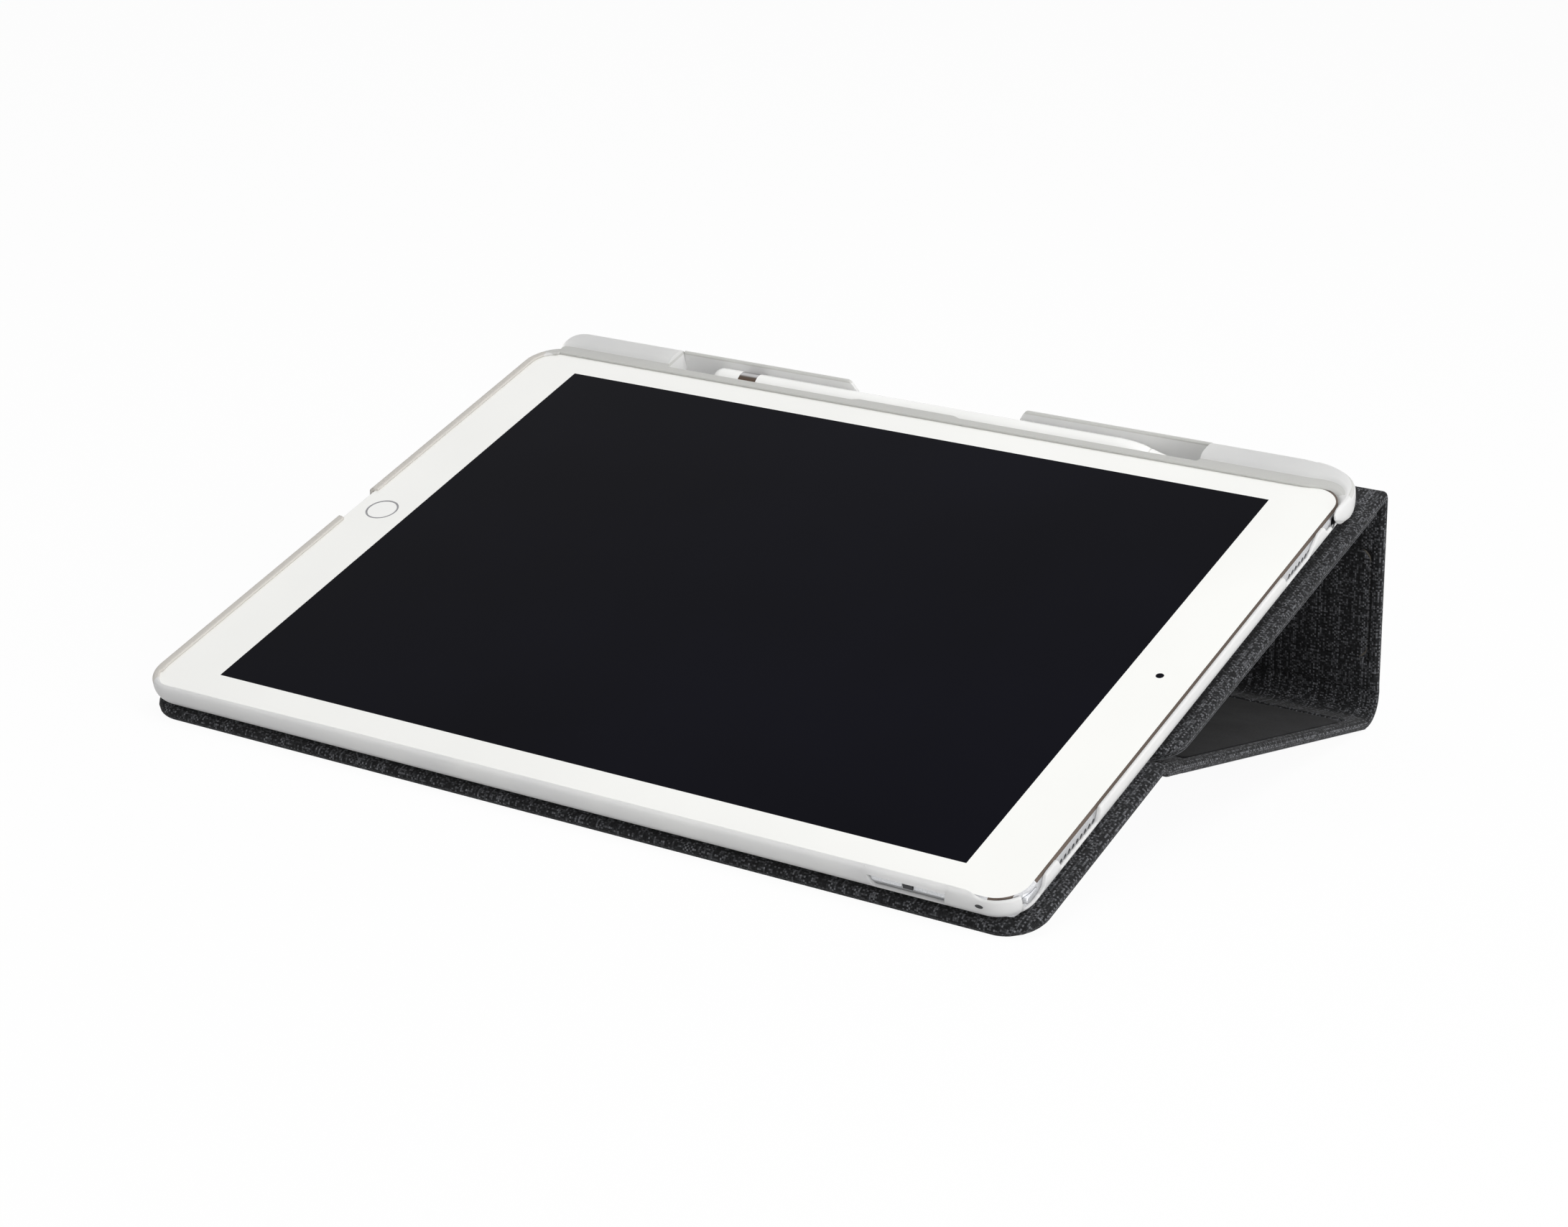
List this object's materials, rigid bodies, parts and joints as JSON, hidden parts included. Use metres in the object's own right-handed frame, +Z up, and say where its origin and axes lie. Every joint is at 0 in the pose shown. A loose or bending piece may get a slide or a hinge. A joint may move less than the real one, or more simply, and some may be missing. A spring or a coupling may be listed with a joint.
{
  "type": "tablet folio stand case",
  "caption": "Woven folio case folded into a low typing stand, with a clear moulded tray, a tablet seated in it and a stylus in the tray's open holder.",
  "frame": {"origin": "on the surface the case stands on, under the middle of its bounding box", "axes": "+X along the long side towards the front camera end, +Y from the near edge to the far fold, +Z up"},
  "size_m": [0.3138, 0.2438, 0.0888],
  "materials": {
    "woven_cover": "woven polyester, charcoal heather",
    "smooth_lining": "brushed microfibre",
    "stiffener": "grey fibreboard",
    "bond": "adhesive sheet",
    "clear_shell": "frosted clear TPU",
    "aluminium_shell": "bead blasted, anodised",
    "white_glass": "polished, white backed",
    "black_glass": "polished, dark",
    "bright_ring": "polished",
    "white_plastic": "gloss white",
    "dark_fitting": "moulded black"
  },
  "bodies": {
    "stand": {"back_panel": "woven_cover", "back_board": "stiffener", "back_lining": "smooth_lining", "spine": "woven_cover", "near_fold": "woven_cover"},
    "riser": {"riser_panel": "woven_cover", "riser_board": "stiffener", "riser_lining": "woven_cover", "top_fold": "woven_cover"},
    "support": {"support_panel": "woven_cover", "support_board": "stiffener", "support_lining": "smooth_lining"},
    "tray": {"near_panel": "woven_cover", "near_board": "stiffener", "near_lining": "smooth_lining", "bonding_pad": "bond", "clear_tray": "clear_shell", "tablet_body": "aluminium_shell", "display_glass": "white_glass", "display_panel": "black_glass", "home_ring": "bright_ring", "front_camera": "black_glass", "charging_port": "dark_fitting", "headphone_jack": "dark_fitting", "speaker_grilles": "dark_fitting", "microphone": "dark_fitting"},
    "home_key": {"home_button": "white_plastic"},
    "volume_up_key": {"volume_up": "aluminium_shell"},
    "volume_down_key": {"volume_down": "aluminium_shell"},
    "power_key": {"power_button": "aluminium_shell"},
    "stylus": {"stylus_barrel": "white_plastic", "stylus_band": "bright_ring", "stylus_cap": "white_plastic", "stylus_tip": "white_plastic"}
  },
  "joints": [
    {"name": "tray_fold", "type": "hinge", "parent": "stand", "child": "tray", "pos_m": [0, -0.03884, 0.027], "axis": [1, 0, 0], "range_deg": [0, 130]},
    {"name": "riser_fold", "type": "hinge", "parent": "stand", "child": "riser", "pos_m": [0, 0.12, 0.00993], "axis": [-1, 0, 0], "range_deg": [0, 50]},
    {"name": "support_fold", "type": "hinge", "parent": "riser", "child": "support", "pos_m": [0, 0.11123, 0.07748], "axis": [-1, 0, 0], "range_deg": [-45, 0]},
    {"name": "home_press", "type": "slide", "parent": "tray", "child": "home_key", "axis": [0, -0.3272, 0.9449], "range_m": [-0.00025, 0], "stiffness_N_per_m": 400, "springref_m": 0.0005},
    {"name": "volume_up_press", "type": "slide", "parent": "tray", "child": "volume_up_key", "axis": [0, 0.9449, 0.3272], "range_m": [0, 0.00025], "stiffness_N_per_m": 400, "springref_m": -0.0005},
    {"name": "volume_down_press", "type": "slide", "parent": "tray", "child": "volume_down_key", "axis": [0, 0.9449, 0.3272], "range_m": [0, 0.00025], "stiffness_N_per_m": 400, "springref_m": -0.0005},
    {"name": "power_press", "type": "slide", "parent": "tray", "child": "power_key", "axis": [-1, 0, 0], "range_m": [0, 0.00025], "stiffness_N_per_m": 400, "springref_m": -0.0005},
    {"name": "stylus_lift", "type": "slide", "parent": "tray", "child": "stylus", "axis": [0, -0.3272, 0.9449], "range_m": [0, 0.03]}
  ],
  "couplings": [
    {"joint": "support_fold", "follows": "riser_fold", "ratio": -0.9}
  ]
}
